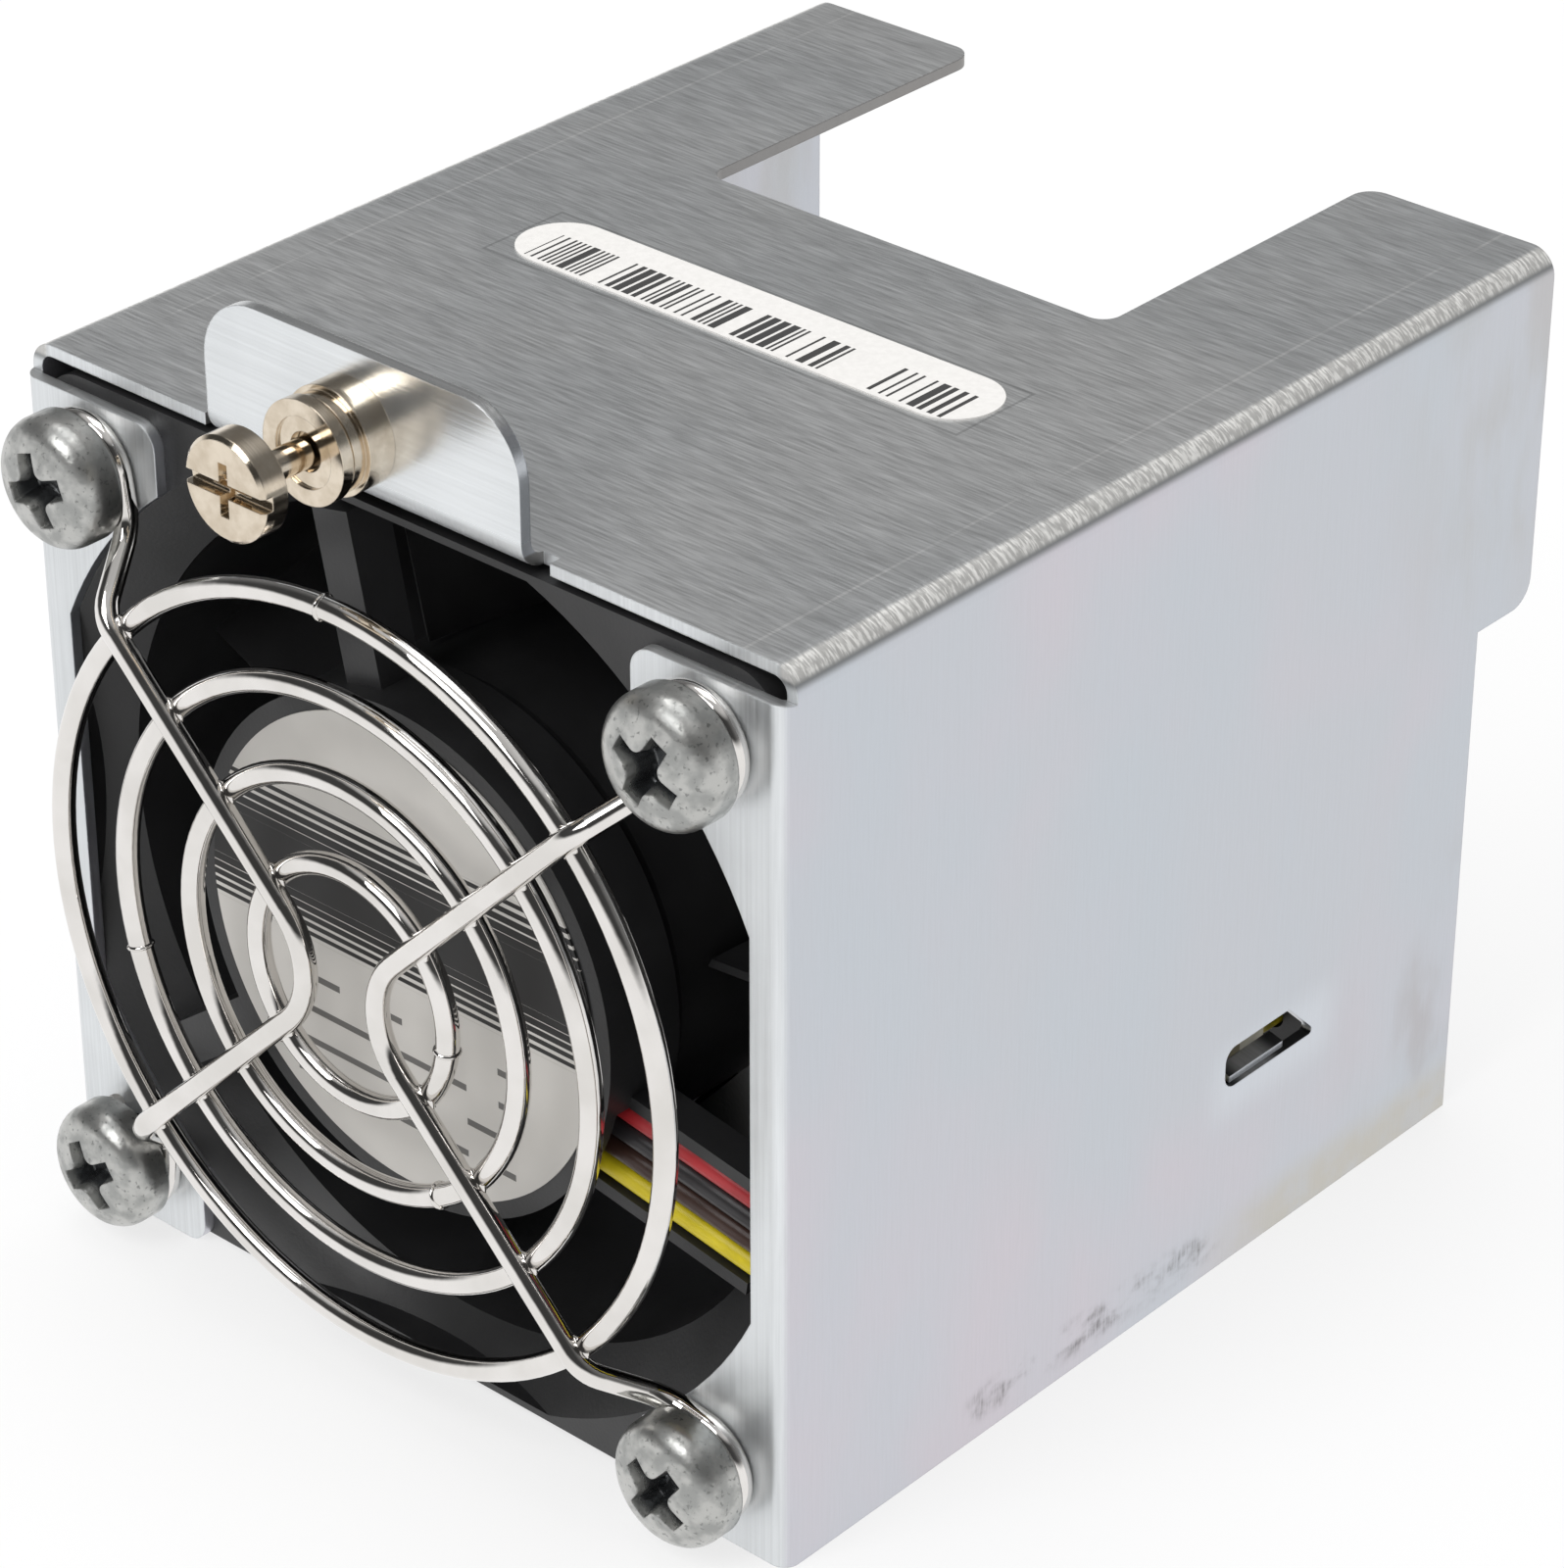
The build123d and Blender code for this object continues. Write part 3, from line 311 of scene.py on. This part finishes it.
def turned_nickel():
    """Bright nickel over turned parts: a warm mirror that keeps faint rings of the tool."""
    material, tree, shader, place = start("bright_nickel_on_turned_steel")
    cloud = mask(tree, slope(patches(tree, place, 1.6 * MM, detail=4.0), 0.3, 0.7))
    rough = put(tree, "MapRange", {"Value": cloud, "To Min": 0.16, "To Max": 0.1},
                interpolation_type="SMOOTHSTEP").outputs[0]
    shader.inputs["Metallic"].default_value = 1.0
    drive(tree, shader, Base_Color=coats(tree, linear("CDBFAB"), (cloud, linear("E4D8C6"))), Roughness=rough)
    rings = patches(tree, place, 0.12 * MM, detail=2.0, stretch=(40, 1, 40))
    soft_edge = put(tree, "Bevel", {"Radius": 0.12 * MM}, samples=4).outputs[0]
    relief(tree, shader, rings, depth=0.004 * MM, under=soft_edge)
    return material


def screw_zinc():
    """Dull zinc on a cold-headed screw: a soft grey with the blotches and pits of barrel plating."""
    material, tree, shader, place = start("barrel_plated_zinc_on_cold_headed_steel")
    blotch = mask(tree, slope(patches(tree, place, 1.3 * MM, detail=4.0), 0.36, 0.64))
    smooth = patches(tree, place, 0.32 * MM, detail=3.0, shift=(0.1, 0.2, 0))
    smooth = mask(tree, slope(smooth, 0.3, 0.42))
    zinc = coats(tree, linear("A2A3A1"), (blotch, linear("BFBFBC")))

    # the cross recess is darkened with painted shade, and made glossier
    x, y, z = put(tree, "SeparateXYZ", {0: place}).outputs
    rise = put(tree, "Math", {0: z, 1: axis_height}, operation="SUBTRACT").outputs[0]
    offsets = {}
    for k, value in ((0, x), (2, rise)):
        away = put(tree, "Math", {0: value}, operation="ABSOLUTE").outputs[0]
        offsets[k] = put(tree, "Math", {0: away, 1: screw_spacing / 2}, operation="SUBTRACT").outputs[0]
    offset = put(tree, "CombineXYZ", offsets).outputs[0]
    radius = put(tree, "VectorMath", {0: offset}, operation="LENGTH").outputs["Value"]
    recess = mask(tree, slope(radius, 2.9 * MM, 2.7 * MM),
                  slope(y, head_front + 0.5 * MM, head_front + 1.1 * MM))

    tone = coats(tree, linear("8B8C8A"), (smooth, zinc), (mask(tree, recess, strength=0.8), linear("55585C")))
    rough = put(tree, "MapRange", {"Value": blotch, "To Min": 0.38, "To Max": 0.28},
                interpolation_type="SMOOTHSTEP").outputs[0]
    rough = put(tree, "Mix", {"Factor": recess, 2: rough, 3: 0.12}).outputs[0]
    shader.inputs["Metallic"].default_value = 0.9
    drive(tree, shader, Base_Color=tone, Roughness=rough)
    soft_edge = put(tree, "Bevel", {"Radius": 0.2 * MM}, samples=4).outputs[0]
    relief(tree, shader, patches(tree, place, 0.45 * MM, detail=3.0), depth=0.02 * MM, under=soft_edge)
    return material


def motor_sticker():
    """Silver polyester film, satin as it comes, printed with a dark band of hairlines and with plain bars."""
    material, tree, shader, place = start("printed_silver_polyester_film")
    x, _, z = put(tree, "SeparateXYZ", {0: place}).outputs
    height = put(tree, "Math", {0: z, 1: axis_height}, operation="SUBTRACT").outputs[0]

    # silver hairlines that grow thinner towards the middle of the band
    band_low, band_high, pitch, solid_half = -1.8 * MM, 8.2 * MM, 0.62 * MM, 1.6 * MM
    middle = (band_low + band_high) / 2
    band = mask(tree, *within(height, band_low, band_high, soft=0.06 * MM))
    off_middle = put(tree, "Math", {0: height, 1: middle}, operation="SUBTRACT").outputs[0]
    off_middle = put(tree, "Math", {0: off_middle}, operation="ABSOLUTE").outputs[0]
    share = put(tree, "MapRange", {"Value": off_middle, "From Min": solid_half,
                                   "From Max": band_high - middle, "To Max": 0.5},
                interpolation_type="SMOOTHSTEP").outputs[0]
    phase = put(tree, "Math", {0: height, 1: 1 / pitch}, operation="MULTIPLY").outputs[0]
    phase = put(tree, "Math", {0: phase}, operation="FRACT").outputs[0]
    hairline = put(tree, "Math", {0: phase, 1: share}, operation="LESS_THAN").outputs[0]

    # plain bars of print in rows below the band, with some of them left out
    row_pitch, row_share, bar_length, left_out = 2.4 * MM, 0.2, 2.7 * MM, 0.3
    row = put(tree, "Math", {0: height, 1: 1 / row_pitch}, operation="MULTIPLY").outputs[0]
    in_row = put(tree, "Math", {0: row}, operation="FRACT").outputs[0]
    in_row = put(tree, "Math", {0: in_row, 1: row_share}, operation="LESS_THAN").outputs[0]
    column = put(tree, "Math", {0: x, 1: 1 / bar_length}, operation="MULTIPLY").outputs[0]
    cell = put(tree, "CombineXYZ", {
        0: put(tree, "Math", {0: column}, operation="FLOOR").outputs[0],
        1: put(tree, "Math", {0: row}, operation="FLOOR").outputs[0],
    }).outputs[0]
    filled = put(tree, "TexWhiteNoise", {"Vector": cell}, noise_dimensions="2D").outputs[0]
    filled = put(tree, "Math", {0: filled, 1: left_out}, operation="GREATER_THAN").outputs[0]
    bars = mask(tree, in_row, filled, *within(height, -13.0 * MM, -3.6 * MM, soft=0.05 * MM),
                *within(x, -9.4 * MM, 9.4 * MM, soft=0.05 * MM), strength=0.8)

    sheen = mask(tree, slope(patches(tree, place, 7 * MM, detail=2.0), 0.35, 0.65))
    silver = coats(tree, linear("C9C6C1"), (sheen, linear("D0CDC8")))
    ink = linear("1D1C1C")
    tone = coats(tree, silver, (band, ink), (mask(tree, band, hairline), silver), (bars, ink))
    shader.inputs["Metallic"].default_value = 0.1
    shader.inputs["Roughness"].default_value = 0.45
    drive(tree, shader, Base_Color=tone)
    relief(tree, shader, patches(tree, place, 3 * MM, detail=2.0), depth=0.02 * MM)
    return material


def bar_sticker():
    """White label paper, matt and faintly fibrous, with two printed groups of bars that carry nothing."""
    material, tree, shader, place = start("white_label_paper_with_bars")
    x, y, _ = put(tree, "SeparateXYZ", {0: place}).outputs

    # the bars are of random widths up to three strips, because the first strip of every run stays white
    strip, run, white_share = 0.2 * MM, 4, 0.36
    along = put(tree, "Math", {0: x, 1: 1 / strip}, operation="MULTIPLY").outputs[0]
    strip_number = put(tree, "Math", {0: along}, operation="FLOOR").outputs[0]
    chance = put(tree, "TexWhiteNoise", {"W": strip_number}, noise_dimensions="1D").outputs[0]
    dark = put(tree, "Math", {0: chance, 1: white_share}, operation="GREATER_THAN").outputs[0]
    in_run = put(tree, "Math", {0: along, 1: 1 / run}, operation="MULTIPLY").outputs[0]
    in_run = put(tree, "Math", {0: in_run}, operation="FRACT").outputs[0]
    past_first = put(tree, "Math", {0: in_run, 1: 1 / run}, operation="GREATER_THAN").outputs[0]
    long_group = mask(tree, *within(x, -16.9 * MM, 7.6 * MM, soft=0.02 * MM))
    short_group = mask(tree, *within(x, 11.5 * MM, 17.3 * MM, soft=0.02 * MM))
    group = put(tree, "Math", {0: long_group, 1: short_group}, operation="MAXIMUM").outputs[0]
    bars = mask(tree, dark, past_first, group,
                *within(y, ear_face + 29.3 * MM, ear_face + 32.9 * MM, soft=0.03 * MM), strength=0.95)

    fibre = mask(tree, slope(patches(tree, place, 0.4 * MM, detail=4.0), 0.3, 0.7))
    paper = coats(tree, linear("E0DEDB"), (fibre, linear("E6E4E1")))
    shader.inputs["Roughness"].default_value = 0.55
    drive(tree, shader, Base_Color=coats(tree, paper, (bars, linear("18181A"))))
    relief(tree, shader, fibre, depth=0.004 * MM)
    return material


def plain_part(name, code, roughness, metallic, spread, grit):
    """A small part of one stuff, with the drift in colour and the grit of its surface in millimetres.

    The grit of metal, board and insulation is drawn coarser than the real one, so that it shows.
    """
    material, tree, shader, place = start(name)
    cloud = mask(tree, slope(patches(tree, place, spread * MM, detail=3.0), 0.3, 0.7))
    base = Vector(linear(code)[:3])
    shader.inputs["Metallic"].default_value = metallic
    shader.inputs["Roughness"].default_value = roughness
    drive(tree, shader, Base_Color=coats(tree, (*(base * 0.8), 1), (cloud, (*base, 1))))
    relief(tree, shader, patches(tree, place, grit * MM, detail=2.0), depth=0.01 * MM)
    return material


# What shows in the photograph
wear(nodes["bracket"], zinc_sheet())
wear(nodes["fan_housing"], moulded_black("black_glass_filled_pbt", "252526", "2D2D2E", grit=0.25))
wear(nodes["impeller"], moulded_black("black_glass_filled_blade_pbt", "262627", "2F2F30", grit=0.3))
bright_wire = guard_nickel()
wear(nodes["finger_guard"], bright_wire)
wear(nodes["fan_screws"], screw_zinc())
warm_nickel = turned_nickel()
for name in ("captive_ferrule", "captive_washer", "captive_screw"):
    wear(nodes[name], warm_nickel)
wear(nodes["hub_label"], motor_sticker())
wear(nodes["part_label"], bar_sticker())

# Extruded insulation with a soft gloss, and satin nylon straight off the mould
for name, code in (("lead_yellow", "E2CE22"), ("lead_brown", "3E2922"), ("lead_black", "2C2A2C"),
                   ("lead_red", "B02A30")):
    wear(nodes[name], plain_part(name + "_pvc_insulation", code, 0.32, 0.0, spread=3.0, grit=0.5))
for name in ("cable_tie", "shaft_clip", "thrust_washer"):
    wear(nodes[name], plain_part(name + "_natural_nylon", "DDD8C4", 0.45, 0.0, spread=3.0, grit=0.3))
wear(nodes["plug_housing"], plain_part("black_nylon_plug", "1C1C1D", 0.42, 0.0, spread=2.0, grit=0.25))

# Inside the motor and the plug: the soft gloss of ground, turned and stamped metal, the deep orange of
# enamelled copper, and the dull darks of ferrite and moulded packages on a green board
for name, code in (("rotor_yoke", "8E9092"), ("shaft", "C9C9CA"), ("bearing_front", "B9BABB"),
                   ("bearing_rear", "B9BABB"), ("stator_core", "85878A")):
    wear(nodes[name], plain_part(name + "_ground_steel", code, 0.3, 1.0, spread=2.0, grit=0.2))
wear(nodes["bearing_tube"], plain_part("turned_brass_tube", "C9A45A", 0.3, 1.0, spread=2.0, grit=0.2))
wear(nodes["plug_contacts"], plain_part("tinned_brass_contacts", "CBBF9A", 0.3, 1.0, spread=1.0, grit=0.2))
wear(nodes["coils"], plain_part("enamelled_copper_windings", "A65A28", 0.3, 0.6, spread=1.0, grit=0.3))
wear(nodes["circuit_board"], plain_part("green_solder_mask", "1F5A36", 0.35, 0.0, spread=3.0, grit=0.3))
wear(nodes["board_parts"], plain_part("black_moulded_packages", "1B1B1C", 0.5, 0.0, spread=1.0, grit=0.2))
wear(nodes["rotor_magnet"], plain_part("bonded_ferrite", "3A3836", 0.55, 0.0, spread=1.0, grit=0.2))


def weld_beads():
    """The flash of the resistance welds where ring and strut cross, and of each ring's own butt weld."""
    wire, ring_count = 1.5 * MM, 4
    ring_radius, ring_pitch, strut_offset = 25.6 * MM, 5.85 * MM, 0.75 * MM
    ring_plane, strut_plane = ear_face - 4.1 * MM, ear_face - 5.0 * MM
    seam = (ring_plane + strut_plane) / 2
    crossing_size = Vector((0.72 * wire, 0.24 * wire, 0.72 * wire))
    collar_size = Vector((0.6 * wire, 0.6 * wire, 0.2 * wire))
    butt_weld_angles = (92, 195, 300, 352)
    shape = bmesh.new()

    def bead(placed, size):
        """One flattened ball of flash, with half its size along each axis."""
        bmesh.ops.create_uvsphere(shape, u_segments=20, v_segments=12, radius=1.0,
                                  matrix=placed @ Matrix.Diagonal((*size, 1)))

    for k in range(ring_count):
        radius = ring_radius - k * ring_pitch
        along = (math.sqrt(2 * radius ** 2 - strut_offset ** 2) - strut_offset) / 2
        for side in (-1, 1):
            for up in (-1, 1):
                spot = (side * (along + strut_offset), seam, axis_height + up * along)
                bead(Matrix.Translation(spot), crossing_size)
    for k, angle in enumerate(butt_weld_angles):
        turned = Matrix.Rotation(math.radians(-angle), 4, "Y")
        bead(Matrix.Translation((0, ring_plane, axis_height)) @ turned
             @ Matrix.Translation((ring_radius - k * ring_pitch, 0, 0)), collar_size)
    for face in shape.faces:
        face.smooth = True
    mesh = bpy.data.meshes.new("guard_welds")
    shape.to_mesh(mesh)
    shape.free()
    beads = bpy.data.objects.new("guard_welds", mesh)
    bpy.context.collection.objects.link(beads)
    wear(beads, bright_wire)
    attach(beads, "module")


weld_beads()


def white_floor():
    """A matt white sheet that the eye and the metal see as nearly white, while it keeps a soft shadow."""
    material = bpy.data.materials.new("white_studio_sheet")
    material.use_nodes = True
    tree = material.node_tree
    tree.nodes.clear()
    glow_to_eye, glow_to_metal = 0.72, 0.96
    path = put(tree, "LightPath")
    seen = put(tree, "Math", {0: path.outputs["Is Camera Ray"], 1: path.outputs["Is Transmission Ray"]},
               operation="MAXIMUM").outputs[0]
    share = mask(tree, seen, strength=glow_to_eye)
    share = put(tree, "Mix", {"Factor": path.outputs["Is Glossy Ray"], 2: share, 3: glow_to_metal}).outputs[0]
    lit = put(tree, "BsdfDiffuse", {"Color": linear("F2F2F2")})
    glow = put(tree, "Emission", {"Color": (1, 1, 1, 1), "Strength": 1.0})
    both = put(tree, "MixShader", {0: share, 1: lit.outputs[0], 2: glow.outputs[0]})
    put(tree, "OutputMaterial", {"Surface": both.outputs[0]})
    return material


def studio_world():
    """The room around the sheet, which is plain white to the eye.

    Metal sees a white horizon, a dark front, a grey back and a soft box overhead.
    """
    dark_front, grey_back, fill, soft_box = 0.05, 0.18, 0.8, 0.5
    world = bpy.data.worlds.new("studio")
    bpy.context.scene.world = world
    world.use_nodes = True
    sky = world.node_tree
    sky.nodes.clear()
    ray = put(sky, "LightPath")
    toward = put(sky, "SeparateXYZ", {0: put(sky, "TexCoord").outputs["Generated"]}).outputs
    wall = put(sky, "MapRange", {"Value": toward[1], "From Min": -0.35, "From Max": 0.35,
                                 "To Min": dark_front, "To Max": grey_back},
               interpolation_type="SMOOTHSTEP").outputs[0]
    room = put(sky, "Mix", {"Factor": mask(sky, slope(toward[2], 0.0, 0.30)), 2: 1.0, 3: wall}).outputs[0]
    overhead = mask(sky, slope(toward[2], 0.70, 0.90), strength=soft_box)
    room = put(sky, "Math", {0: room, 1: overhead}, operation="ADD").outputs[0]
    level = put(sky, "Mix", {"Factor": ray.outputs["Is Glossy Ray"], 2: fill, 3: room}).outputs[0]
    seen = put(sky, "Math", {0: ray.outputs["Is Camera Ray"], 1: ray.outputs["Is Transmission Ray"]},
               operation="MAXIMUM").outputs[0]
    level = put(sky, "Mix", {"Factor": seen, 2: level, 3: 1.0}).outputs[0]
    light = put(sky, "Background", {"Color": (1, 1, 1, 1), "Strength": level})
    put(sky, "OutputWorld", {"Surface": light.outputs[0]})


def softbox(name, place, aim, size, power):
    """A square lamp at a place in metres, turned to the aim."""
    lamp = bpy.data.objects.new(name, bpy.data.lights.new(name, "AREA"))
    lamp.data.size = size
    lamp.data.energy = power
    lamp.location = place
    lamp.rotation_euler = (Vector(aim) - Vector(place)).to_track_quat("-Z", "Y").to_euler()
    bpy.context.collection.objects.link(lamp)


# The white sheet that the module stands on
floor_mesh = bpy.data.meshes.new("floor")
reach = 3.0
floor_mesh.from_pydata([(-reach, -reach, 0), (reach, -reach, 0), (reach, reach, 0), (-reach, reach, 0)], [],
                       [(0, 1, 2, 3)])
floor = bpy.data.objects.new("floor", floor_mesh)
bpy.context.collection.objects.link(floor)
wear(floor, white_floor())

studio_world()
middle_of_module = (0, 0, 30 * MM)
softbox("key", (-0.05, -0.6, 0.68), middle_of_module, size=0.45, power=2.8)
softbox("top_light", (-0.1, 0.1, 0.95), middle_of_module, size=0.5, power=2.0)
